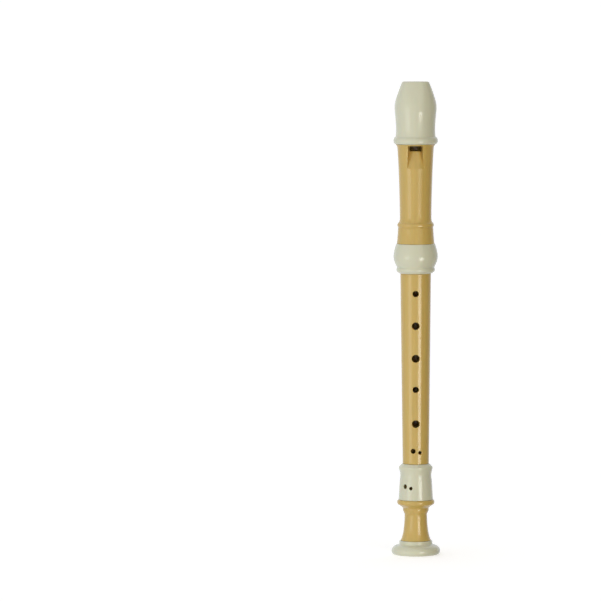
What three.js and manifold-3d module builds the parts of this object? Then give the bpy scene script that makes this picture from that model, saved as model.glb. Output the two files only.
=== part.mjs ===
// Soprano recorder, baroque pattern: a head joint, a middle joint and a foot joint that plug together.
// Millimetres, +Z up, origin at the centre of the foot's end face, tone holes and window towards -Y.
// A profile is an outline of (radius, height) that runs up the outside and back down the inside.
import * as THREE from "three";
import { mergeVertices } from "three/addons/utils/BufferGeometryUtils.js";
import Module from "manifold-3d";

const wasm = await Module();
wasm.setup();

// ---- Driving dimensions ----
const LENGTH = 330; // beak tip to foot end
const HEAD_END = 196.5; // lower end of the head joint
const BEAK_END = 286.4; // lower end of the beak cap
const FOOT_TOP = 63.6; // upper end of the foot joint
const BASE_TOP = 9.9; // upper end of the foot's base ring
const SLEEVE_END = 38.5; // lower end of the foot's socket sleeve
const GAP = 0.1; // clearance between two neighbouring pieces
const FACETS = 40; // flats round a turned piece
const CURVE_STEPS = 3; // straight steps along a curved stretch of a profile

// ---- Bore and joints ----
const HEAD_BORE = 6.8;
const MIDDLE_BORE_TOP = 6.4;
const MIDDLE_BORE_END = 4.9;
const FOOT_BORE = 5.0;
const FOOT_BORE_END = 6.0;
const UPPER_TENON = { radius: 8.6, length: 17.1 };
const LOWER_TENON = { radius: 7.6, length: 11.4 };
const SOCKET_DEPTH_SPARE = 0.6; // room left past the end of a seated tenon
const TENON_CHAMFER = 0.5;
const GREASE_GROOVE_DEPTH = 0.25;
const LIP = 1.4; // thickness of the end lip of a ring that caps a joint
const RING_SEAT = 11.4; // radius of the head body under the socket ring and the beak cap
const SLEEVE_SEAT = 9.0; // radius of the foot body under the socket sleeve
const BASE_SEAT = 7.9; // radius of the foot body under the base ring
const BEAK_SEAT_TOP = 301; // upper end of the head body, inside the beak cap

// ---- Window, windway and beak ----
const WINDOW_TOP = 285.9;
const LABIUM_EDGE = { radius: 7.25, height: 281.6 };
const RAMP_SLOPE = 0.38; // rise of the ramp towards the outside, per millimetre down
const RAMP_REACH = 14; // the ramp's cutter runs this far below the labium's edge
const WINDOW_HALF_WIDTH = 4; // at the labium's edge
const WINDOW_DRAFT = 0.22; // the window's walls open outwards by this much per millimetre
const RAMP_FLARE = 0.05; // and the ramp widens by this much per millimetre down
const WINDWAY_ROOF = 7.9; // radius of the arched windway's roof
const WINDWAY_HALF_ANGLE = Math.asin(WINDOW_HALF_WIDTH / LABIUM_EDGE.radius);
const BEAK_TAPER_START = 313.8; // above this the beak narrows and flattens
const TIP_RADIUS = 9.8; // half the tip's width, before the hollow trims it
const TIP_FRONT = 9.9; // distance of the tip's front face from the bore's axis
const TIP_SQUARENESS = 2.8; // exponent of the tip's superellipse; 2 is a plain ellipse
const SCOOP_RADIUS = 29.6; // the hollow cut into the back of the beak
const TIP_BACK = 3.7; // distance of the tip's back face from the bore's axis
const BEAK_WALL = 1.3; // thickness left between the hollow and the block

// ---- Tone holes: height of the centre, diameter, and angle from the front, positive towards +X ----
const TONE_HOLES = [
  { height: 190.5, diameter: 5.2, degrees: 180 },
  { height: 182.7, diameter: 4.2, degrees: 0 },
  { height: 160.3, diameter: 5.2, degrees: 0 },
  { height: 137.6, diameter: 5.4, degrees: 0 },
  { height: 115.9, diameter: 4.2, degrees: 0 },
  { height: 92.0, diameter: 5.2, degrees: 0 },
  { height: 73.0, diameter: 3.4, degrees: -11.6 },
  { height: 71.9, diameter: 2.5, degrees: 19.5 },
];
const FOOT_TURN_DEGREES = -30; // the foot joint is turned towards the little finger
const FOOT_HOLES = [
  { height: 48.2, diameter: 3.2, degrees: -12 },
  { height: 47.1, diameter: 2.4, degrees: 12 },
];

// ---- Materials ----
const sandResin = new THREE.MeshStandardMaterial({ color: "#cdaa68", roughness: 0.42, metalness: 0 });
const ivoryResin = new THREE.MeshStandardMaterial({ color: "#d6d2b8", roughness: 0.36, metalness: 0 });

// ---- Geometry helpers ----
function solidFrom(geometry) {
  const bare = geometry.clone();
  bare.deleteAttribute("normal");
  bare.deleteAttribute("uv");
  const merged = mergeVertices(bare);
  return new wasm.Manifold(
    new wasm.Mesh({
      numProp: 3,
      vertProperties: new Float32Array(merged.attributes.position.array),
      triVerts: new Uint32Array(merged.index.array),
    }),
  );
}

function geometryFrom(solid) {
  const mesh = solid.getMesh();
  const geometry = new THREE.BufferGeometry();
  geometry.setAttribute("position", new THREE.BufferAttribute(mesh.vertProperties, 3));
  geometry.setIndex(new THREE.BufferAttribute(mesh.triVerts, 1));
  geometry.computeVertexNormals();
  return geometry;
}

// Revolves a path of (radius, height) about Z.
function turned(path) {
  const points = path.getPoints(CURVE_STEPS);
  return new THREE.LatheGeometry(points, FACETS).rotateX(Math.PI / 2);
}

// A plain round bar between two heights.
function bar(radius, from, to) {
  const cylinder = new THREE.CylinderGeometry(radius, radius, to - from, FACETS);
  return cylinder.rotateX(Math.PI / 2).translate(0, 0, (from + to) / 2);
}

// A cutter for one tone hole, running from the bore's axis out past the wall.
function holeCutter({ height, diameter, degrees }) {
  const reach = 20;
  const facets = 16;
  const pin = new THREE.CylinderGeometry(diameter / 2, diameter / 2, reach, facets);
  pin.translate(0, -reach / 2, 0).rotateZ(THREE.MathUtils.degToRad(degrees));
  return pin.translate(0, 0, height);
}

function cutHoles(geometry, holes) {
  let solid = solidFrom(geometry);
  for (const hole of holes) solid = solid.subtract(solidFrom(holeCutter(hole)));
  return geometryFrom(solid);
}

function piece(name, geometry, material) {
  const mesh = new THREE.Mesh(geometry, material);
  mesh.name = name;
  return mesh;
}

// ---- Foot joint ----
function footBaseRing() {
  const lipBore = FOOT_BORE_END + 0.3;
  const path = new THREE.Path();
  path.moveTo(lipBore, 0.4);
  path.lineTo(lipBore + 0.4, 0);
  path.lineTo(14.6, 0);
  path.quadraticCurveTo(16.3, 0.1, 16.95, 2.6); // flange
  path.quadraticCurveTo(16.9, 4.3, 15.6, 5.4);
  path.quadraticCurveTo(14.2, 6.6, 11.5, 7.3);
  path.lineTo(11.5, 9.4);
  path.lineTo(11.2, BASE_TOP - GAP);
  path.lineTo(BASE_SEAT + GAP, BASE_TOP - GAP);
  path.lineTo(BASE_SEAT + GAP, LIP - GAP);
  path.lineTo(lipBore, LIP - GAP);
  path.lineTo(lipBore, 0.4);
  return turned(path);
}

function footBody() {
  const socket = LOWER_TENON.radius + GAP;
  const socketFloor = FOOT_TOP - LOWER_TENON.length - SOCKET_DEPTH_SPARE;
  const linerTop = FOOT_TOP - LIP;
  const path = new THREE.Path();
  path.moveTo(FOOT_BORE_END, LIP);
  path.lineTo(BASE_SEAT, LIP);
  path.lineTo(BASE_SEAT, BASE_TOP);
  path.lineTo(10.6, BASE_TOP);
  path.bezierCurveTo(8.7, 13.5, 7.95, 20, 7.8, 27.9); // the bell, narrowing to the waist
  path.lineTo(8.7, 30.4);
  path.lineTo(8.95, 31.2);
  path.lineTo(8.95, 32.7);
  path.quadraticCurveTo(9.6, 34.3, 12.3, 35); // cove under the bead
  path.quadraticCurveTo(14, 36.4, 12.3, SLEEVE_END - GAP);
  path.lineTo(SLEEVE_SEAT, SLEEVE_END - GAP);
  path.lineTo(SLEEVE_SEAT, linerTop - GAP);
  path.lineTo(socket, linerTop - GAP);
  path.lineTo(socket, socketFloor);
  path.lineTo(FOOT_BORE, socketFloor);
  path.lineTo(FOOT_BORE + 0.3, 12);
  path.lineTo(FOOT_BORE_END, LIP);
  return cutHoles(turned(path), FOOT_HOLES);
}

function footSocketSleeve() {
  const mouth = LOWER_TENON.radius + GAP;
  const seat = SLEEVE_SEAT + GAP;
  const path = new THREE.Path();
  path.moveTo(seat, SLEEVE_END);
  path.lineTo(12, SLEEVE_END);
  path.quadraticCurveTo(11.75, 46, 11.15, 52);
  path.quadraticCurveTo(10.45, 55, 11.05, 58.2);
  path.quadraticCurveTo(12.6, 61.1, 11, 62); // flared rim
  path.lineTo(9.5, FOOT_TOP);
  path.lineTo(mouth, FOOT_TOP);
  path.lineTo(mouth, FOOT_TOP - LIP);
  path.lineTo(seat, FOOT_TOP - LIP);
  path.lineTo(seat, SLEEVE_END);
  return cutHoles(turned(path), FOOT_HOLES);
}

// ---- Middle joint ----
// Runs along a tenon from height a to height b, with a shallow grease groove between two sealing lands.
function addTenon(path, radius, a, b) {
  const groove = radius - GREASE_GROOVE_DEPTH;
  const at = (share) => a + (b - a) * share;
  path.lineTo(radius, a);
  path.lineTo(radius, at(0.3));
  path.lineTo(groove, at(0.33));
  path.lineTo(groove, at(0.67));
  path.lineTo(radius, at(0.7));
  path.lineTo(radius, b);
}

function middleBody() {
  const lowerShoulder = FOOT_TOP + GAP;
  const upperShoulder = HEAD_END - GAP;
  const lowerEnd = FOOT_TOP - LOWER_TENON.length;
  const upperEnd = HEAD_END + UPPER_TENON.length;
  const path = new THREE.Path();
  path.moveTo(MIDDLE_BORE_END, lowerEnd);
  path.lineTo(LOWER_TENON.radius - TENON_CHAMFER, lowerEnd);
  addTenon(path, LOWER_TENON.radius, lowerEnd + TENON_CHAMFER, lowerShoulder);
  path.lineTo(9.0, lowerShoulder);
  path.lineTo(9.15, lowerShoulder + 0.3);
  path.lineTo(10.65, upperShoulder - 0.3);
  path.lineTo(10.4, upperShoulder);
  addTenon(path, UPPER_TENON.radius, upperShoulder, upperEnd - TENON_CHAMFER);
  path.lineTo(UPPER_TENON.radius - TENON_CHAMFER, upperEnd);
  path.lineTo(MIDDLE_BORE_TOP, upperEnd);
  path.lineTo(MIDDLE_BORE_END, lowerEnd);
  return cutHoles(turned(path), TONE_HOLES);
}

// ---- Head joint ----
function headSocketRing() {
  const mouth = UPPER_TENON.radius + GAP;
  const seat = RING_SEAT + GAP;
  const top = 217.1;
  const path = new THREE.Path();
  path.moveTo(mouth, HEAD_END);
  path.lineTo(11.4, HEAD_END);
  path.lineTo(12.1, 197.2);
  path.quadraticCurveTo(14.2, 198.8, 12.95, 200.5); // small bead at the mouth
  path.bezierCurveTo(13.4, 202, 15.4, 204.6, 15.4, 208.2); // the bulge
  path.quadraticCurveTo(15.4, 211.8, 13.5, top);
  path.lineTo(seat, top);
  path.lineTo(seat, HEAD_END + LIP);
  path.lineTo(mouth, HEAD_END + LIP);
  path.lineTo(mouth, HEAD_END);
  return turned(path);
}

// Everything removed in front of the bore: the window, and the ramp that leads down from the labium's edge.
function windowCutter() {
  const outside = 20;
  const inside = 4;
  const { radius, height } = LABIUM_EDGE;
  const rampEnd = height - RAMP_REACH;
  const path = new THREE.Path();
  path.moveTo(inside, height);
  path.lineTo(radius, height);
  path.lineTo(radius + RAMP_SLOPE * RAMP_REACH, rampEnd);
  path.lineTo(outside, rampEnd);
  path.lineTo(outside, WINDOW_TOP);
  path.lineTo(inside, WINDOW_TOP);
  path.lineTo(inside, height);
  const tall = WINDOW_TOP - rampEnd + 2;
  const wedge = new THREE.BoxGeometry(2, outside, tall);
  wedge.translate(0, -outside / 2 - 2, WINDOW_TOP + 1 - tall / 2);
  const position = wedge.attributes.position;
  for (let i = 0; i < position.count; i++) {
    const deeper = WINDOW_DRAFT * (-position.getY(i) - radius);
    const lower = RAMP_FLARE * (WINDOW_TOP - position.getZ(i));
    position.setX(i, position.getX(i) * (WINDOW_HALF_WIDTH + deeper + lower));
  }
  return solidFrom(turned(path)).intersect(solidFrom(wedge));
}

// The arched windway between two heights, as a sector of a ring in front of the block.
function windwayCutter(from, to) {
  const inside = HEAD_BORE - 1;
  const start = -Math.PI / 2 - WINDWAY_HALF_ANGLE;
  const end = -Math.PI / 2 + WINDWAY_HALF_ANGLE;
  const shape = new THREE.Shape();
  shape.absarc(0, 0, WINDWAY_ROOF, start, end, false);
  shape.absarc(0, 0, inside, end, start, true);
  const options = { depth: to - from, bevelEnabled: false, curveSegments: 10 };
  return solidFrom(new THREE.ExtrudeGeometry(shape, options).translate(0, 0, from));
}

function headBody() {
  const socket = UPPER_TENON.radius + GAP;
  const socketFloor = HEAD_END + UPPER_TENON.length + SOCKET_DEPTH_SPARE;
  const start = HEAD_END + LIP + GAP;
  const shoulder = 217.2;
  const path = new THREE.Path();
  path.moveTo(socket, start);
  path.lineTo(RING_SEAT, start);
  path.lineTo(RING_SEAT, shoulder);
  path.lineTo(13.15, shoulder);
  path.quadraticCurveTo(12.55, 220.5, 12.25, 228.1);
  path.lineTo(12.05, 228.8);
  path.quadraticCurveTo(13.4, 230.5, 12, 231.7); // the ridge
  path.quadraticCurveTo(11.1, 232.9, 10.95, 235.2); // cove above the ridge
  path.bezierCurveTo(11.15, 250, 11.5, 266, 12.6, 283);
  path.quadraticCurveTo(12.7, 284.3, 13.8, BEAK_END - GAP);
  path.lineTo(RING_SEAT, BEAK_END - GAP);
  path.lineTo(RING_SEAT, BEAK_SEAT_TOP);
  path.lineTo(HEAD_BORE, BEAK_SEAT_TOP);
  path.lineTo(HEAD_BORE, socketFloor);
  path.lineTo(socket, socketFloor);
  path.lineTo(socket, start);
  const windway = windwayCutter(WINDOW_TOP - 1, BEAK_SEAT_TOP + 1);
  return geometryFrom(solidFrom(turned(path)).subtract(windowCutter()).subtract(windway));
}

// The hollow behind the beak, as a crosswise cylinder; a positive margin leaves that much wall.
function scoopCutter(margin) {
  const wide = 40;
  const radius = SCOOP_RADIUS + margin;
  const roller = new THREE.CylinderGeometry(radius, radius, wide, 96).rotateZ(Math.PI / 2);
  return solidFrom(roller.translate(0, SCOOP_RADIUS - TIP_BACK, LENGTH));
}

function windwayBlock() {
  const plug = solidFrom(bar(HEAD_BORE - GAP, WINDOW_TOP + GAP, LENGTH));
  return geometryFrom(plug.subtract(scoopCutter(BEAK_WALL + GAP)));
}

// Turns the round section above the taper's start into a flatter superellipse of the same width.
function flattenBeak(geometry) {
  const position = geometry.attributes.position;
  for (let i = 0; i < position.count; i++) {
    const height = position.getZ(i);
    const share = (height - BEAK_TAPER_START) / (LENGTH - BEAK_TAPER_START);
    const radius = Math.hypot(position.getX(i), position.getY(i));
    if (share <= 0 || radius < 1e-6) continue;
    const power = 2 / (2 + (TIP_SQUARENESS - 2) * share);
    const deepen = 1 + share * (TIP_FRONT / TIP_RADIUS - 1);
    const bend = (v) => Math.sign(v) * Math.abs(v / radius) ** power * radius;
    position.setX(i, bend(position.getX(i)));
    position.setY(i, bend(position.getY(i)) * deepen);
  }
  return geometry;
}

function beakCap() {
  const seat = RING_SEAT + GAP;
  const path = new THREE.Path();
  path.moveTo(0, BEAK_END);
  path.lineTo(14.1, BEAK_END);
  path.quadraticCurveTo(17, 288.6, 14, 291.4); // bead over the head body
  path.lineTo(13.8, 292.2);
  path.bezierCurveTo(13.3, 296.5, 13.75, 302.5, 14.5, 309);
  path.lineTo(14.5, BEAK_TAPER_START);
  path.quadraticCurveTo(13.6, 319.8, TIP_RADIUS, LENGTH - 1);
  path.lineTo(TIP_RADIUS - 0.7, LENGTH);
  path.lineTo(0, LENGTH);
  const seatTop = BEAK_SEAT_TOP + GAP;
  const blockHole = solidFrom(bar(HEAD_BORE, seatTop - 1, LENGTH + 1)).subtract(scoopCutter(BEAK_WALL));
  const cap = solidFrom(flattenBeak(turned(path)))
    .subtract(solidFrom(bar(seat, BEAK_END - 1, seatTop)))
    .subtract(scoopCutter(0))
    .subtract(blockHole)
    .subtract(windwayCutter(seatTop - 1, LENGTH + 1));
  return geometryFrom(cap);
}

// ---- Assembly ----
const recorder = new THREE.Group();

const headJoint = new THREE.Group();
headJoint.add(
  piece("beak_cap", beakCap(), ivoryResin),
  piece("windway_block", windwayBlock(), ivoryResin),
  piece("head_body", headBody(), sandResin),
  piece("head_socket_ring", headSocketRing(), ivoryResin),
);

const middleJoint = new THREE.Group();
middleJoint.add(piece("middle_body", middleBody(), sandResin));

const footJoint = new THREE.Group();
footJoint.rotation.z = THREE.MathUtils.degToRad(FOOT_TURN_DEGREES);
footJoint.add(
  piece("foot_socket_sleeve", footSocketSleeve(), ivoryResin),
  piece("foot_body", footBody(), sandResin),
  piece("foot_base_ring", footBaseRing(), ivoryResin),
);

recorder.add(headJoint, middleJoint, footJoint);

export default recorder;
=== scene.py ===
import math

import bmesh
import bpy
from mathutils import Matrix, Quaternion, Vector
from mathutils.bvhtree import BVHTree


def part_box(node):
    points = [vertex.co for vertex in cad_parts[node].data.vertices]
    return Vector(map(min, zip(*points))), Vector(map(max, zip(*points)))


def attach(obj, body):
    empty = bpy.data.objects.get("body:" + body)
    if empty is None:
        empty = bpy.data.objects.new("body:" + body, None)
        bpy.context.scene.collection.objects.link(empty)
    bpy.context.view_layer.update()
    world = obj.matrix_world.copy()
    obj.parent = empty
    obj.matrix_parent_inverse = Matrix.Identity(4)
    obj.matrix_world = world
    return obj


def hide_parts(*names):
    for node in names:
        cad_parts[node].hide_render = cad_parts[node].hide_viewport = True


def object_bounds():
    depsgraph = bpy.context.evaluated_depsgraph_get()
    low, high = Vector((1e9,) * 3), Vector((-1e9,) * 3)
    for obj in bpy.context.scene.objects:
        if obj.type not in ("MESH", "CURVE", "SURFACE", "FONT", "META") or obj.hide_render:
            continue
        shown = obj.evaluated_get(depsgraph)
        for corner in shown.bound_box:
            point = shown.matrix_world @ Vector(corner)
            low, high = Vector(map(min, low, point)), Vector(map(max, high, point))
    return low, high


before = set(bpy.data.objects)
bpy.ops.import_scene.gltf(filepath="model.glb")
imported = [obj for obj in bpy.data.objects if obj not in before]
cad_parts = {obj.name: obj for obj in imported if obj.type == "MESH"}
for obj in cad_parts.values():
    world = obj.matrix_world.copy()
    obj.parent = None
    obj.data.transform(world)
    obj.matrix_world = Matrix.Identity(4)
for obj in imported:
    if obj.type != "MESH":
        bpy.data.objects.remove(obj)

# A plastic soprano recorder that stands on its foot. Lengths are in millimetres until a mesh is made,
# and in metres for the stage, the lamps and the camera.
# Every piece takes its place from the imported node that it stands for.
MM = 0.001
cad_low, cad_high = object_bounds()
CENTRE = Vector((0, 0, (cad_low.z + cad_high.z) / 2))


def span(node):
    """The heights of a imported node's lowest and highest points."""
    low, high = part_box(node)
    return low.z / MM, high.z / MM


BASE_LOW, BASE_HIGH = span("foot_base_ring")
FOOT_LOW, FOOT_HIGH = span("foot_body")
SLEEVE_LOW, SLEEVE_HIGH = span("foot_socket_sleeve")
MIDDLE_LOW, MIDDLE_HIGH = span("middle_body")
RING_LOW, RING_HIGH = span("head_socket_ring")
HEAD_LOW, HEAD_HIGH = span("head_body")
CAP_LOW, CAP_HIGH = span("beak_cap")
BLOCK_LOW, BLOCK_HIGH = span("windway_block")

# ---- Fineness of the meshes ----
COLUMNS = 144  # round a turned piece
BEAK_COLUMNS = 256  # round the beak, whose corners are tight
CURVE_STEPS = 14  # along a curved stretch of an outline
ROUNDING_STEPS = 5  # along a rounded corner
LONGEST = 1.2  # no step along an outline is longer
SHORTEST = 1e-3  # and none is shorter
SHARP = math.radians(32)  # edges that bend more than this are drawn sharp
WELD = 0.001  # points closer than this after a cut become one
SKIN = 0.03  # a point this close to the uncut surface lies on it

# ---- Dimensions shared by pieces that fit together ----
GAP = 0.1  # clearance between two neighbouring pieces
LIP = 1.4  # thickness of the end lip of a ring that caps a joint
SOCKET_SPARE = 0.6  # room left past the end of a seated tenon
GROOVE_DEPTH = 0.25  # of the grease groove round a tenon
TENON_CHAMFER = 0.5
FOOT_TURN = math.radians(-30)  # the foot is turned towards the little finger

# Radii of the bore, of the tenons, and of the seats under the rings, the sleeve and the beak.
BORE_HEAD = 6.8
BORE_MIDDLE_TOP = 6.4
BORE_MIDDLE_LOW = 4.9
BORE_FOOT = 5.0
BORE_FOOT_LOW = 6.0
UPPER_TENON = 8.6
LOWER_TENON = 7.6
RING_SEAT = 11.4
SLEEVE_SEAT = 9.0
BASE_SEAT = 7.9

# ---- Window, windway and beak ----
WINDOW_TOP = CAP_LOW - 0.9
LABIUM_RADIUS = 7.25
LABIUM_HEIGHT = CAP_LOW - 4.8
RAMP_SLOPE = 0.38  # rise of the ramp towards the outside, per millimetre down
RAMP_REACH = 14.0  # the ramp's cutter runs this far below the labium's edge
WINDOW_HALF_WIDTH = 4.0  # at the labium's edge
WINDOW_DRAFT = 0.22  # the window's walls open outwards by this much per millimetre
RAMP_FLARE = 0.05  # and the ramp widens by this much per millimetre down
WINDWAY_ROOF = 7.9  # radius of the arched windway's roof
WINDWAY_HALF_ANGLE = math.asin(WINDOW_HALF_WIDTH / LABIUM_RADIUS)
TAPER_START = CAP_HIGH - 16.2  # above this the beak turns squarer and flatter
TIP_RADIUS = 9.8  # half the tip's width, about a millimetre below its end
TIP_FRONT = 9.9  # distance of the tip's front face from the bore's axis
TIP_SQUARENESS = 2.8  # exponent of the tip's superellipse; 2 is a plain ellipse
TIP_ROUNDING = 0.9
SCOOP_RADIUS = 29.6  # of the hollow cut into the back of the beak
TIP_BACK = 3.7  # distance of the tip's back face from the bore's axis
BLOCK_WALL = 1.3  # thickness left between the hollow and the block


# ---- Outlines ----
class Outline:
    """A closed outline of (radius, height), drawn up the outside and back down the inside."""

    def __init__(self, datum):
        self.datum = datum
        self.points = []

    def to(self, radius, height, rounding=0.0):
        """Adds a corner, rounded off from this far before it to this far after it."""
        self.points.append((radius, self.datum + height, rounding))
        return self

    def curve(self, first, second, end):
        """A Bezier curve on from the last point, with two control points."""
        start = Vector((self.points[-1][0], self.points[-1][1] - self.datum))
        a, b, c = Vector(first), Vector(second), Vector(end)
        for step in range(1, CURVE_STEPS + 1):
            t = step / CURVE_STEPS
            s = 1 - t
            point = start * s**3 + a * 3 * s * s * t + b * 3 * s * t * t + c * t**3
            self.to(point.x, point.y)
        return self

    def from_datum(self, datum):
        """Measures the heights that follow from another datum."""
        self.datum = datum
        return self

    def closed(self):
        """The outline's points, with its corners rounded and its long steps divided."""
        count = len(self.points)
        most = 0.45  # share of a side that a rounding may take
        made = []
        for i, (radius, height, rounding) in enumerate(self.points):
            here = Vector((radius, height))
            if not rounding:
                made.append(here)
                continue
            before = Vector(self.points[i - 1][:2]) - here
            after = Vector(self.points[(i + 1) % count][:2]) - here
            start = here + before.normalized() * min(rounding, before.length * most)
            end = here + after.normalized() * min(rounding, after.length * most)
            for step in range(ROUNDING_STEPS + 1):
                t = step / ROUNDING_STEPS
                made.append(start * (1 - t) ** 2 + here * 2 * t * (1 - t) + end * t * t)
        apart = [p for i, p in enumerate(made) if (p - made[i - 1]).length > SHORTEST]
        return divided(apart)


def divided(points):
    """The same closed outline, with steps longer than LONGEST divided evenly."""
    made = []
    for a, b in zip(points, points[1:] + points[:1]):
        parts = max(1, math.ceil((b - a).length / LONGEST))
        made += [a.lerp(b, part / parts) for part in range(parts)]
    return made


def outer_radius(points, height):
    """The largest radius at which an outline of points crosses a height."""
    widest = 0.0
    for a, b in zip(points, points[1:] + points[:1]):
        if min(a.y, b.y) <= height <= max(a.y, b.y) and a.y != b.y:
            widest = max(widest, a.lerp(b, (height - a.y) / (b.y - a.y)).x)
    return widest


# ---- Meshes ----
def loft(name, rings, closed=False):
    """A solid through rings of points. The last ring joins the first if closed, and else both get a face."""
    across = len(rings[0])
    vertices = [Vector(point) * MM for ring in rings for point in ring]
    faces = []
    for i in range(len(rings) if closed else len(rings) - 1):
        low, high = i * across, (i + 1) % len(rings) * across
        for j in range(across):
            k = (j + 1) % across
            faces.append((low + j, low + k, high + k, high + j))
    if not closed:
        faces.append(tuple(reversed(range(across))))
        faces.append(tuple(range(len(vertices) - across, len(vertices))))
    mesh = bpy.data.meshes.new(name)
    mesh.from_pydata(vertices, [], faces)
    body = bmesh.new()
    body.from_mesh(mesh)
    if body.calc_volume(signed=True) < 0:
        bmesh.ops.reverse_faces(body, faces=body.faces)
    body.to_mesh(mesh)
    body.free()
    piece = bpy.data.objects.new(name, mesh)
    bpy.context.scene.collection.objects.link(piece)
    return piece


def circle(radius, height):
    steps = [2 * math.pi * j / COLUMNS for j in range(COLUMNS)]
    return [(radius * math.sin(a), -radius * math.cos(a), height) for a in steps]


def turned(name, points):
    return loft(name, [circle(point.x, point.y) for point in points], closed=True)


def bar(radius, low, high):
    return loft("bar", [circle(radius, low), circle(radius, high)])


def carve(piece, cutter):
    """Subtracts the cutter, removes it, and welds the points that the cut left too close together."""
    change = piece.modifiers.new("carve", "BOOLEAN")
    change.operation = "DIFFERENCE"
    change.solver = "MANIFOLD"
    change.object = cutter
    apply_modifiers(piece)
    bpy.data.objects.remove(cutter)
    body = bmesh.new()
    body.from_mesh(piece.data)
    bmesh.ops.remove_doubles(body, verts=body.verts, dist=WELD * MM)
    bmesh.ops.dissolve_degenerate(body, edges=body.edges, dist=WELD * MM)
    body.to_mesh(piece.data)
    body.free()


def turn(piece, angle):
    """Turns a piece's mesh about the bore's axis."""
    for vertex in piece.data.vertices:
        x, y, z = vertex.co
        vertex.co = (
            x * math.cos(angle) - y * math.sin(angle),
            x * math.sin(angle) + y * math.cos(angle),
            z,
        )


def smooth(piece):
    """Smooth shading with sharp edges kept, and normals weighted by the size of the faces."""
    piece.data.shade_smooth()
    piece.data.set_sharp_from_angle(angle=SHARP)
    weights = piece.modifiers.new("weights", "WEIGHTED_NORMAL")
    weights.keep_sharp = True


def apply_modifiers(piece):
    evaluated = piece.evaluated_get(bpy.context.evaluated_depsgraph_get())
    mesh = bpy.data.meshes.new_from_object(evaluated)
    piece.modifiers.clear()
    piece.data = mesh


def keep_normals(piece, uncut, near):
    """Near its cuts a piece takes the normals of its uncut surface, so that the cuts leave no marks on it."""
    smooth(uncut)
    apply_modifiers(uncut)
    surface = BVHTree.FromObject(uncut, bpy.context.evaluated_depsgraph_get())
    kept = []
    for vertex in piece.data.vertices:
        if near(vertex.co / MM) and surface.find_nearest(vertex.co)[3] < SKIN * MM:
            kept.append(vertex.index)
    piece.vertex_groups.new(name="skin").add(kept, 1.0, "REPLACE")
    smooth(piece)
    copy = piece.modifiers.new("copy", "DATA_TRANSFER")
    copy.object = uncut
    copy.use_loop_data = True
    copy.data_types_loops = {"CUSTOM_NORMAL"}
    copy.loop_mapping = "POLYINTERP_NEAREST"
    copy.vertex_group = "skin"
    apply_modifiers(piece)
    bpy.data.objects.remove(uncut)


def finished(piece, body, node, slot):
    """Gives the piece its resin, and ties it to the frame."""
    piece.data.materials.clear()
    piece.data.materials.append(resins[slot])
    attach(piece, body)
    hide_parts(node)


# ---- Tone holes ----
def hole_cutter(outline, inside, height, diameter, degrees, rounding=0.45):
    """A cutter that follows the tube's surface, so that the hole's rim is evenly rounded all round."""
    around = 48
    arc_end = math.radians(72)  # how far round the rim's arc turns
    arc_steps = 6
    overlap = 1.0  # how far the cutter runs on into the bore
    radius = diameter / 2
    spread = [(-rounding, radius)]
    for step in range(1, arc_steps + 1):
        angle = arc_end * step / arc_steps
        spread.append((rounding * (math.sin(angle) - 1), radius + rounding * (1 - math.cos(angle))))
    clear = rounding + 0.3  # how far it runs on outside
    widest = spread[-1][1] + clear * math.tan(arc_end)
    turns = [2 * math.pi * j / around for j in range(around)]

    def flat_ring(wide, out):
        return [(wide * math.cos(a), -out, height + wide * math.sin(a)) for a in turns]

    rings = [flat_ring(radius, inside - overlap)]
    for depth, wide in spread:
        ring = []
        for side, _, level in flat_ring(wide, 0):
            out = outer_radius(outline, level) + depth
            ring.append((side, -math.sqrt(out * out - side * side), level))
        rings.append(ring)
    rings.append(flat_ring(widest, outer_radius(outline, height) + clear))
    cutter = loft("hole", rings)
    turn(cutter, math.radians(degrees))
    return cutter


def beside_holes(datum, holes):
    """A test of whether a point is next to one of the holes, on their side of the tube."""
    margin = 2.2

    def near(point):
        for above, diameter, degrees in holes:
            angle = math.radians(degrees)
            across = point.x * math.cos(angle) + point.y * math.sin(angle)
            out = point.x * math.sin(angle) - point.y * math.cos(angle)
            if out > 0 and math.hypot(across, point.z - datum - above) < diameter / 2 + margin:
                return True
        return False

    return near


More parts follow.
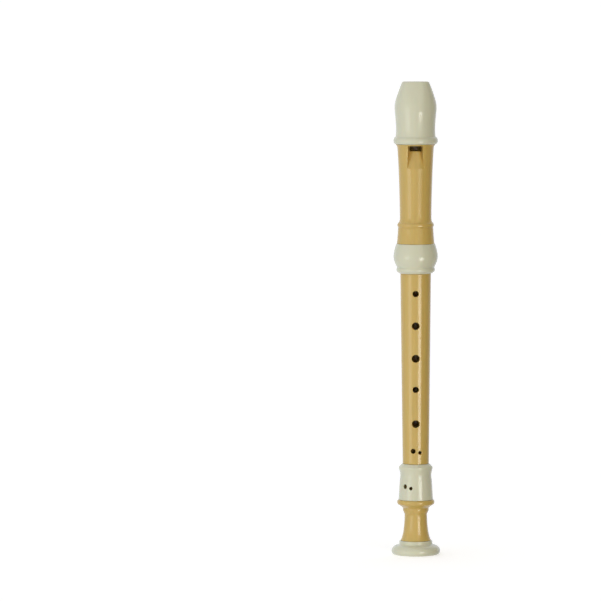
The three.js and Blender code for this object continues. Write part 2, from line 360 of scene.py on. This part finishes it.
# ---- The window, the ramp and the windway ----
def window_cutter(outline, ramp):
    """The opening in front of the bore, or the ramp below it, with a slightly rounded outer edge."""
    rounding = 0.25
    rounding_steps = 4
    inside = 4.5  # the window is cut in to this radius
    reach = 3.0  # and both cutters run out this far beyond the surface
    across = 12  # steps across the floor
    sliver = 0.01  # least distance between two stations, and overlap of the two cutters
    beyond = 0.3  # rows with their floor further than this outside the surface are left out
    if ramp:
        low, high, rows = LABIUM_HEIGHT - RAMP_REACH, LABIUM_HEIGHT, 44
    else:
        low, high, rows = LABIUM_HEIGHT - sliver, WINDOW_TOP, 8
    rings = []
    for row in range(rows + 1):
        height = low + (high - low) * row / rows
        surface = outer_radius(outline, height)
        floor = LABIUM_RADIUS + RAMP_SLOPE * (LABIUM_HEIGHT - height) if ramp else inside
        if floor > surface + beyond:
            continue
        stations = [(surface + reach, rounding * 1.5), (surface, rounding)]
        for step in range(1, rounding_steps + 1):
            angle = math.pi / 2 * step / rounding_steps
            inset = rounding * (1 - math.sin(angle))
            stations.append((surface - rounding * (1 - math.cos(angle)), inset))
        stations.append((floor, 0.0))
        wall = []
        for k, (out, flare) in enumerate(stations):
            out = max(out, floor + sliver * (len(stations) - 1 - k))
            half = WINDOW_HALF_WIDTH + WINDOW_DRAFT * (out - LABIUM_RADIUS) + flare
            half += RAMP_FLARE * (WINDOW_TOP - height)
            wall.append((half, out))
        corner = math.asin(wall[-1][0] / floor)
        right = [(half, -math.sqrt(out * out - half * half), height) for half, out in wall]
        angles = [corner * (1 - 2 * k / across) for k in range(1, across)]
        bottom = [(floor * math.sin(a), -floor * math.cos(a), height) for a in angles]
        left = [(-x, y, z) for x, y, z in reversed(right)]
        rings.append(right + bottom + left)
    return loft("window", rings)


def windway_cutter(low, high, flare_from=None):
    """The arched slot in front of the block. It opens a little wider above flare_from."""
    inside = BORE_HEAD - 1.0
    steps = 24  # along the arch
    rows = 6
    lift = 0.35  # how much higher the roof is at the mouth
    spread = 0.06  # how much further the slot reaches to each side there, in radians
    heights = [low, high]
    if flare_from:
        flare = high - flare_from
        heights = [low, flare_from] + [flare_from + flare * k / rows for k in range(1, rows + 1)]
    rings = []
    for height in heights:
        share = max(0.0, (height - flare_from) / (high - flare_from)) if flare_from else 0.0
        roof = WINDWAY_ROOF + lift * share * share
        half = WINDWAY_HALF_ANGLE + spread * share * share
        angles = [half * (1 - 2 * k / steps) for k in range(steps + 1)]
        over = [(roof * math.sin(a), -roof * math.cos(a), height) for a in angles]
        under = [(inside * math.sin(a), -inside * math.cos(a), height) for a in reversed(angles)]
        rings.append(over + under)
    return loft("windway", rings)


# ---- The beak's cross-section ----
def scoop_back(height, margin):
    """How far back the material reaches where the scoop, widened by a margin, cuts it; elsewhere None."""
    radius = SCOOP_RADIUS + margin
    below = CAP_HIGH - height
    if below >= radius:
        return None
    return SCOOP_RADIUS - TIP_BACK - math.sqrt(radius * radius - below * below)


def hollowed_section(radius, height, margin, tightness, squareness=2.0, deepen=1.0, inset=0.0):
    """A round or squarish section with its back cut flat. The tighter it is, the sharper its corners."""
    halvings = 32  # of the stretch that a point of the section is sought in
    back = scoop_back(height, margin)
    edge = radius * deepen
    rear = edge if back is None else min(edge, back - inset)
    centre = (rear - edge) / 2
    section = []
    for j in range(BEAK_COLUMNS):
        angle = 2 * math.pi * j / BEAK_COLUMNS
        side, along = math.sin(angle), -math.cos(angle)
        near, far = 0.0, 2.5 * edge
        for _ in range(halvings):
            reach = (near + far) / 2
            across = abs(reach * side / radius) ** squareness
            deep = abs((centre + reach * along) / edge) ** squareness
            if across + deep < 1:
                near = reach
            else:
                far = reach
        if back is not None and along > 1e-6:
            cut = (back - inset - centre) / along
            reach = (reach**-tightness + cut**-tightness) ** (-1 / tightness)
        section.append((reach * side, centre + reach * along, height))
    return section


# ---- Pieces ----
def foot_base_ring():
    outline = Outline(BASE_LOW)
    outline.to(6.3, 0.5).to(6.8, 0, 0.1).to(14.4, 0)
    outline.curve((16.2, 0), (16.95, 1.1), (16.95, 2.6))
    outline.curve((16.95, 4), (15.9, 5.5), (14.4, 6.3))
    outline.curve((13.4, 6.75), (12, 6.9), (11.5, 7.5))
    outline.from_datum(BASE_HIGH)
    outline.to(11.5, -0.2, 0.3).to(11.15, 0, 0.15).to(BASE_SEAT + GAP, 0)
    outline.from_datum(FOOT_LOW)
    outline.to(BASE_SEAT + GAP, -GAP).to(6.3, -GAP)
    return turned("foot_base", outline.closed())


def foot_outline():
    top = BASE_HIGH + GAP
    outline = Outline(FOOT_LOW)
    outline.to(BORE_FOOT_LOW, 0, 0.2).to(BASE_SEAT, 0)
    outline.from_datum(top)
    outline.to(BASE_SEAT, 0).to(10.6, 0, 0.15)
    outline.curve((8.7, 3.6), (7.95, 10.1), (7.8, 18))
    outline.curve((7.85, 19), (8.85, 20.2), (8.95, 21.3))
    outline.to(8.95, 22.8, 0.4)
    outline.from_datum(SLEEVE_LOW)
    outline.to(11.6, -3.7, 0.5)
    outline.curve((13.4, -3.4), (13.4, -0.5), (12.1, -GAP))
    outline.to(SLEEVE_SEAT, -GAP)
    outline.from_datum(FOOT_HIGH)
    outline.to(SLEEVE_SEAT, 0).to(LOWER_TENON + GAP, 0)
    outline.from_datum(MIDDLE_LOW)
    outline.to(LOWER_TENON + GAP, -SOCKET_SPARE).to(BORE_FOOT, -SOCKET_SPARE, 0.2)
    outline.from_datum(top)
    outline.to(BORE_FOOT + 0.3, 2.1)
    return outline.closed()


def sleeve_outline():
    outline = Outline(SLEEVE_LOW)
    outline.to(SLEEVE_SEAT + GAP, 0).to(12.05, 0, 0.25)
    outline.curve((11.7, 4), (11.5, 9), (11.15, 13.5))
    outline.curve((10.95, 14.9), (10.6, 16.7), (10.95, 18.7))
    outline.curve((11.2, 20.5), (12.6, 22.9), (11, 23.5))
    outline.from_datum(SLEEVE_HIGH)
    outline.to(10.5, -0.9, 0.4).to(9.5, 0, 0.3).to(LOWER_TENON + GAP, 0, 0.1)
    outline.to(LOWER_TENON + GAP, -LIP).to(SLEEVE_SEAT + GAP, -LIP)
    return outline.closed()


FOOT_HOLES = [(9.7, 3.2, -12), (8.6, 2.4, 12)]  # height above the sleeve's lower end, diameter, degrees


def foot_joint():
    body_outline, sleeve = foot_outline(), sleeve_outline()
    body = turned("foot_tube", body_outline)
    cover = turned("foot_sleeve", sleeve)
    for above, diameter, degrees in FOOT_HOLES:
        height = SLEEVE_LOW + above
        carve(body, hole_cutter(body_outline, BORE_FOOT, height, diameter, degrees, rounding=0.02))
        carve(cover, hole_cutter(sleeve, SLEEVE_SEAT, height, diameter, degrees))
    near = beside_holes(SLEEVE_LOW, FOOT_HOLES)
    smooth(body)
    keep_normals(cover, turned("uncut", sleeve), near)
    turn(body, FOOT_TURN)
    turn(cover, FOOT_TURN)
    finished(body, "foot", "foot_body", "sand_resin")
    finished(cover, "foot", "foot_socket_sleeve", "ivory_resin")
    base = foot_base_ring()
    smooth(base)
    finished(base, "foot_ring", "foot_base_ring", "ivory_resin")


def add_tenon(outline, radius, start, end):
    """A tenon with a sealing land at each end and a shallow grease groove between them."""
    length = end - start
    groove = radius - GROOVE_DEPTH
    outline.to(radius, start).to(radius, start + length * 0.3, 0.1)
    outline.to(groove, start + length * 0.33, 0.1).to(groove, start + length * 0.67, 0.1)
    outline.to(radius, start + length * 0.7, 0.1).to(radius, end)


def middle_outline():
    low_shoulder = SLEEVE_HIGH + GAP
    high_shoulder = RING_LOW - GAP
    outline = Outline(0)
    outline.to(BORE_MIDDLE_LOW, MIDDLE_LOW, 0.15).to(LOWER_TENON - TENON_CHAMFER, MIDDLE_LOW, 0.1)
    add_tenon(outline, LOWER_TENON, MIDDLE_LOW + TENON_CHAMFER, low_shoulder)
    outline.to(9, low_shoulder, 0.1).to(9.15, low_shoulder + 0.3, 0.2)
    outline.to(10.65, high_shoulder - 0.3, 0.2).to(10.45, high_shoulder, 0.1)
    add_tenon(outline, UPPER_TENON, high_shoulder, MIDDLE_HIGH - TENON_CHAMFER)
    outline.to(UPPER_TENON - TENON_CHAMFER, MIDDLE_HIGH, 0.1)
    outline.to(BORE_MIDDLE_TOP, MIDDLE_HIGH, 0.15)
    return outline.closed()


# Height above the foot joint's upper end, diameter, and degrees from the front.
MIDDLE_HOLES = [
    (126.9, 5.2, 180),
    (119.1, 4.2, 0),
    (96.7, 5.2, 0),
    (74.0, 5.4, 0),
    (52.3, 4.2, 0),
    (28.4, 5.2, 0),
    (9.4, 3.4, -11.6),
    (8.3, 2.5, 19.5),
]


def middle_joint():
    outline = middle_outline()
    tube = turned("middle_tube", outline)
    for above, diameter, degrees in MIDDLE_HOLES:
        height = SLEEVE_HIGH + above
        share = (height - MIDDLE_LOW) / (MIDDLE_HIGH - MIDDLE_LOW)
        bore = BORE_MIDDLE_LOW + (BORE_MIDDLE_TOP - BORE_MIDDLE_LOW) * share
        carve(tube, hole_cutter(outline, bore, height, diameter, degrees))
    keep_normals(tube, turned("uncut", outline), beside_holes(SLEEVE_HIGH, MIDDLE_HOLES))
    finished(tube, "middle", "middle_body", "sand_resin")


def head_ring():
    outline = Outline(RING_LOW)
    outline.to(UPPER_TENON + GAP, 0, 0.15).to(11.5, 0, 0.25).to(12.1, 0.7)
    outline.curve((13.5, 0.9), (13.7, 3.4), (12.95, 4.0))
    outline.curve((13.3, 5.5), (15.4, 8.1), (15.4, 11.7))
    outline.curve((15.4, 14.7), (14.3, 18.1), (13.55, 20.3))
    outline.from_datum(RING_HIGH)
    outline.to(13.4, 0, 0.25).to(RING_SEAT + GAP, 0)
    outline.from_datum(RING_LOW)
    outline.to(RING_SEAT + GAP, LIP).to(UPPER_TENON + GAP, LIP)
    ring = turned("socket_ring", outline.closed())
    smooth(ring)
    finished(ring, "head_ring", "head_socket_ring", "ivory_resin")


def head_outline():
    shoulder = RING_HIGH + GAP
    outline = Outline(HEAD_LOW)
    outline.to(UPPER_TENON + GAP, 0).to(RING_SEAT, 0)
    outline.from_datum(shoulder)
    outline.to(RING_SEAT, 0).to(13.15, 0, 0.15)
    outline.curve((12.7, 2.4), (12.5, 6.4), (12.25, 10.9))
    outline.to(12.05, 11.5)
    outline.curve((12.95, 12), (12.95, 13.9), (12, 14.5))
    outline.curve((11.4, 15.2), (11, 16), (10.95, 18))
    outline.curve((11.15, 32.8), (11.5, 48.8), (12.6, 65.8))
    outline.curve((12.7, 66.8), (12.9, 67.8), (13.8, 69.1))
    outline.from_datum(CAP_LOW)
    outline.to(13.8, -GAP).to(RING_SEAT, -GAP)
    outline.from_datum(HEAD_HIGH)
    outline.to(RING_SEAT, 0).to(BORE_HEAD, 0)
    outline.from_datum(MIDDLE_HIGH)
    outline.to(BORE_HEAD, SOCKET_SPARE, 0.15).to(UPPER_TENON + GAP, SOCKET_SPARE)
    return outline.closed()


def beside_window(point):
    """Whether a point is on the head's front, round the window or the ramp, below the upper shoulder."""
    front, side = -9, 9
    low, high = LABIUM_HEIGHT - 17, WINDOW_TOP - 0.5
    return point.y < front and abs(point.x) < side and low < point.z < high


def head_tube():
    outline = head_outline()
    tube = turned("head_tube", outline)
    carve(tube, window_cutter(outline, ramp=False))
    carve(tube, window_cutter(outline, ramp=True))
    carve(tube, windway_cutter(WINDOW_TOP - 1, HEAD_HIGH + 1))
    keep_normals(tube, turned("uncut", outline), beside_window)
    finished(tube, "head", "head_body", "sand_resin")


def beak_outline():
    outline = Outline(CAP_LOW)
    outline.to(14.1, 0)
    outline.curve((15.9, 0.2), (15.9, 4.4), (14, 5))
    outline.to(13.8, 5.8)
    outline.curve((13.3, 10.1), (13.75, 16.1), (14.5, 22.6))
    outline.curve((14.6, 24), (14.6, 26), (14.5, 27.4))
    outline.curve((14, 31.4), (12.4, 36.4), (TIP_RADIUS - 0.3, CAP_HIGH - CAP_LOW))
    outline.to(0, CAP_HIGH - CAP_LOW).to(0, 0)
    return outline.closed()


def beak():
    outline = beak_outline()
    edge = 0.15  # bevel round the lower end
    row_height = 0.3
    tip_rows = 8
    just_under = 1e-4  # the outline is read this far below its flat top
    straight_end = CAP_HIGH - TIP_ROUNDING
    rows = math.ceil((straight_end - CAP_LOW - edge) / row_height)
    rings = [beak_section(outer_radius(outline, CAP_LOW) - edge, CAP_LOW, 0)]
    for row in range(rows + 1):
        height = CAP_LOW + edge + (straight_end - CAP_LOW - edge) * row / rows
        rings.append(beak_section(outer_radius(outline, height), height, 0))
    for row in range(1, tip_rows + 1):
        angle = math.pi / 2 * row / tip_rows
        height = straight_end + TIP_ROUNDING * math.sin(angle)
        inset = TIP_ROUNDING * (1 - math.cos(angle))
        rings.append(beak_section(outer_radius(outline, height - just_under), height, inset))
    cap = loft("beak", rings)
    carve(cap, bar(RING_SEAT + GAP, CAP_LOW - 1, HEAD_HIGH + GAP))
    carve(cap, block_body(BORE_HEAD, HEAD_HIGH - 1, CAP_HIGH + 1, margin=0))
    carve(cap, windway_cutter(HEAD_HIGH - 1, CAP_HIGH + 0.5, flare_from=CAP_HIGH - 1.2))
    smooth(cap)
    finished(cap, "head", "beak_cap", "ivory_resin")


def beak_section(radius, height, inset):
    """The beak's outside at a height, drawn in by an inset."""
    tightness = 20
    share = max(0.0, (height - TAPER_START) / (CAP_HIGH - TAPER_START))
    squareness = 2 + (TIP_SQUARENESS - 2) * share
    deepen = 1 + share * (TIP_FRONT / TIP_RADIUS - 1)
    return hollowed_section(radius - inset, height, 0.0, tightness, squareness, deepen, inset)


def block_body(radius, low, high, margin):
    """The block, or the room for it, with its back following the scoop."""
    rows = 60
    tightness = 60
    heights = [low + (high - low) * row / rows for row in range(rows + 1)]
    rings = []
    for height in heights:
        level = min(height, CAP_HIGH)
        section = hollowed_section(radius, level, BLOCK_WALL + margin, tightness)
        rings.append([(x, y, height) for x, y, _ in section])
    return loft("windway_floor", rings)


def block():
    floor_piece = block_body(BORE_HEAD - GAP, BLOCK_LOW, BLOCK_HIGH, margin=GAP)
    smooth(floor_piece)
    finished(floor_piece, "head", "windway_block", "ivory_resin")


# ---- Materials ----
SAND = (0.675, 0.457, 0.122)
DARKER_SAND = (0.64, 0.432, 0.115)
IVORY = (0.735, 0.705, 0.495)
DARKER_IVORY = (0.705, 0.675, 0.47)


def resin(name, base, shade, scatter, flow):
    """Semi-gloss moulded resin: faint mottling, flow lines along the tube and an uneven polish."""
    material = bpy.data.materials.new(name)
    material.use_nodes = True
    nodes, links = material.node_tree.nodes, material.node_tree.links
    surface = nodes["Principled BSDF"]
    place = nodes.new("ShaderNodeTexCoord")

    def noise(scale, detail, stretch=1):
        """Noise that is stretched along the tube by a factor."""
        drawn_out = nodes.new("ShaderNodeMapping")
        drawn_out.inputs["Scale"].default_value = (1, 1, 1 / stretch)
        links.new(place.outputs["Object"], drawn_out.inputs["Vector"])
        node = nodes.new("ShaderNodeTexNoise")
        node.inputs["Scale"].default_value = scale
        node.inputs["Detail"].default_value = detail
        links.new(drawn_out.outputs["Vector"], node.inputs["Vector"])
        return node.outputs["Fac"]

    mottle = nodes.new("ShaderNodeValToRGB")
    mottle.color_ramp.elements[0].color = (*base, 1)
    mottle.color_ramp.elements[1].color = (*shade, 1)
    links.new(noise(scale=45, detail=3), mottle.inputs["Fac"])
    lines = nodes.new("ShaderNodeMapRange")
    lines.inputs["To Min"].default_value = 1 - flow
    lines.inputs["To Max"].default_value = 1 + flow
    links.new(noise(scale=420, detail=3, stretch=16), lines.inputs["Value"])
    streaked = nodes.new("ShaderNodeVectorMath")
    streaked.operation = "SCALE"
    links.new(mottle.outputs["Color"], streaked.inputs["Vector"])
    links.new(lines.outputs["Result"], streaked.inputs["Scale"])
    links.new(streaked.outputs["Vector"], surface.inputs["Base Color"])

    polish = nodes.new("ShaderNodeMapRange")
    polish.inputs["To Min"].default_value = 0.15
    polish.inputs["To Max"].default_value = 0.2
    links.new(noise(scale=130, detail=4), polish.inputs["Value"])
    links.new(polish.outputs["Result"], surface.inputs["Roughness"])

    skin = nodes.new("ShaderNodeBump")
    skin.inputs["Strength"].default_value = 0.1
    skin.inputs["Distance"].default_value = 0.01 * MM
    links.new(noise(scale=900, detail=2), skin.inputs["Height"])
    links.new(skin.outputs["Normal"], surface.inputs["Normal"])

    surface.inputs["IOR"].default_value = 1.5
    surface.inputs["Subsurface Weight"].default_value = scatter
    surface.inputs["Subsurface Radius"].default_value = (3.0 * MM, 1.4 * MM, 0.5 * MM)
    surface.inputs["Subsurface Scale"].default_value = 1.0
    return material


# ---- Stage, light and camera ----
FLOOR_GLOW = 0.43  # what the floor adds of its own where the camera sees it
COOL = (0.95, 1.0, 1.1)
WARM = (1.02, 0.98, 0.9)

# Degrees from the front, positive to the viewer's right, how bright the studio is that way, and its tint.
STUDIO = [
    (-180, 0.92, COOL),
    (-140, 0.92, COOL),
    (-110, 0.7, COOL),
    (-30, 0.78, COOL),
    (8, 0.6, COOL),
    (18, 1.1, WARM),
    (34, 1.0, WARM),
    (48, 0.06, WARM),
    (85, 0.06, WARM),
    (110, 0.2, WARM),
    (140, 0.85, COOL),
    (180, 0.92, COOL),
]


def seen_or_not(tree, seen, otherwise):
    """A value that is one number where the camera looks, and another for every other ray."""
    path = tree.nodes.new("ShaderNodeLightPath")
    pick = tree.nodes.new("ShaderNodeMapRange")
    pick.inputs["To Min"].default_value = otherwise
    pick.inputs["To Max"].default_value = seen
    tree.links.new(path.outputs["Is Camera Ray"], pick.inputs["Value"])
    return pick.outputs["Result"]


def floor_material():
    """A pale matt floor, brighter where the camera sees it, as a lit studio sweep is."""
    material = bpy.data.materials.new("pale_floor")
    material.use_nodes = True
    nodes, links = material.node_tree.nodes, material.node_tree.links
    surface = nodes["Principled BSDF"]
    surface.inputs["Roughness"].default_value = 0.9
    surface.inputs["Specular IOR Level"].default_value = 0.1
    grain = nodes.new("ShaderNodeTexNoise")
    grain.inputs["Scale"].default_value = 3
    tone = nodes.new("ShaderNodeValToRGB")
    tone.color_ramp.elements[0].color = (0.93, 0.89, 0.82, 1)
    tone.color_ramp.elements[1].color = (0.95, 0.91, 0.84, 1)
    links.new(grain.outputs["Fac"], tone.inputs["Fac"])
    links.new(tone.outputs["Color"], surface.inputs["Base Color"])
    links.new(seen_or_not(material.node_tree, FLOOR_GLOW, 0.0), surface.inputs["Emission Strength"])
    surface.inputs["Emission Color"].default_value = (1, 1, 1, 1)
    return material


def floor():
    """A floor that lights nothing, so that highlights run down the object's whole height."""
    half = 30.0
    drop = 0.05 * MM
    mesh = bpy.data.meshes.new("floor")
    corners = [(-half, -half), (half, -half), (half, half), (-half, half)]
    mesh.from_pydata([(x, y, cad_low.z - drop) for x, y in corners], [], [(0, 1, 2, 3)])
    plane = bpy.data.objects.new("floor", mesh)
    mesh.materials.append(floor_material())
    plane.visible_diffuse = False
    plane.visible_glossy = False
    plane.visible_shadow = False
    bpy.context.scene.collection.objects.link(plane)


def softbox(name, azimuth, elevation, distance, wide, tall, brightness, glow=True, shine=True):
    """A rectangular lamp that faces the object. Azimuth is from the front, positive to the viewer's right.

    A lamp without glow gives only a highlight, and a lamp without shine gives no highlight.
    """
    lamp = bpy.data.lights.new(name, "AREA")
    lamp.shape = "RECTANGLE"
    lamp.size, lamp.size_y = wide, tall
    lamp.energy = brightness * math.pi * wide * tall
    holder = bpy.data.objects.new(name, lamp)
    a, e = math.radians(azimuth), math.radians(elevation)
    towards = Vector((math.sin(a) * math.cos(e), -math.cos(a) * math.cos(e), math.sin(e)))
    holder.location = CENTRE + towards * distance
    holder.rotation_mode = "QUATERNION"
    holder.rotation_quaternion = towards.to_track_quat("Z", "Y")
    holder.visible_camera = False
    holder.visible_diffuse = glow
    holder.visible_glossy = shine
    bpy.context.scene.collection.objects.link(holder)


def surroundings():
    """A plain studio: white to the camera, and as bright as STUDIO says to the object, at every height."""
    world = bpy.data.worlds.new("studio")
    world.use_nodes = True
    tree = world.node_tree
    nodes, links = tree.nodes, tree.links
    place = nodes.new("ShaderNodeTexCoord")
    axes = nodes.new("ShaderNodeSeparateXYZ")
    links.new(place.outputs["Generated"], axes.inputs["Vector"])
    forward = nodes.new("ShaderNodeMath")
    forward.operation = "MULTIPLY"
    forward.inputs[1].default_value = -1
    links.new(axes.outputs["Y"], forward.inputs[0])
    azimuth = nodes.new("ShaderNodeMath")
    azimuth.operation = "ARCTAN2"
    links.new(axes.outputs["X"], azimuth.inputs[0])
    links.new(forward.outputs["Value"], azimuth.inputs[1])
    share = nodes.new("ShaderNodeMapRange")
    share.inputs["From Min"].default_value = -math.pi
    share.inputs["From Max"].default_value = math.pi
    links.new(azimuth.outputs["Value"], share.inputs["Value"])
    ramp = nodes.new("ShaderNodeValToRGB")
    links.new(share.outputs["Result"], ramp.inputs["Fac"])
    stops = ramp.color_ramp.elements
    for degrees, _, _ in STUDIO[1:-1]:
        stops.new(0.5 + degrees / 360)
    for stop, (_, brightness, tint) in zip(stops, STUDIO):
        stop.color = (*(brightness * channel for channel in tint), 1)
    white = nodes.new("ShaderNodeMixRGB")
    white.inputs["Color2"].default_value = (1, 1, 1, 1)
    links.new(ramp.outputs["Color"], white.inputs["Color1"])
    links.new(seen_or_not(tree, 1.0, 0.0), white.inputs["Fac"])
    links.new(white.outputs["Color"], nodes["Background"].inputs["Color"])
    bpy.context.scene.world = world


def camera():
    """Nearly level with the object, a little above it, and far back, with the object right of the centre."""
    distance = 4.0
    elevation = math.radians(4.5)
    lean = math.radians(0.12)
    seen_width = 0.4181  # width of the picture at the object
    aside = 0.0801  # the object stands this far right of the picture's centre
    above = 0.0125  # and its middle is this far below it
    data = bpy.data.cameras.new("camera")
    data.sensor_width = 36
    data.lens = data.sensor_width * distance / seen_width
    data.clip_end = 100
    eye = bpy.data.objects.new("camera", data)
    target = CENTRE + Vector((-aside, 0, above))
    eye.location = CENTRE + Vector((0, -math.cos(elevation), math.sin(elevation))) * distance
    level = (target - eye.location).to_track_quat("-Z", "Y")
    eye.rotation_euler = (level @ Quaternion((0, 0, 1), -lean)).to_euler()
    bpy.context.scene.collection.objects.link(eye)
    bpy.context.scene.camera = eye


# ---- The scene ----
resins = {
    "sand_resin": resin("sand_look", SAND, DARKER_SAND, scatter=0.12, flow=0.09),
    "ivory_resin": resin("ivory_look", IVORY, DARKER_IVORY, scatter=0.08, flow=0.03),
}
foot_joint()
middle_joint()
head_ring()
head_tube()
beak()
block()

floor()
surroundings()
# Each lamp's azimuth, elevation and distance, then its size and brightness.
softbox("right_lamp", 32, -5.3, 1.5, wide=0.58, tall=0.33, brightness=5.2, shine=False)
softbox("right_highlight", 32, -10.6, 0.5, wide=0.194, tall=0.2, brightness=5.0, glow=False)
softbox("beak_highlight", 27, -13, 3.0, wide=0.84, tall=0.25, brightness=5.0, glow=False)
softbox("left_lamp", -46, -5.3, 1.5, wide=0.7, tall=0.5, brightness=1.6)
camera()
bpy.context.scene.view_settings.view_transform = "Standard"
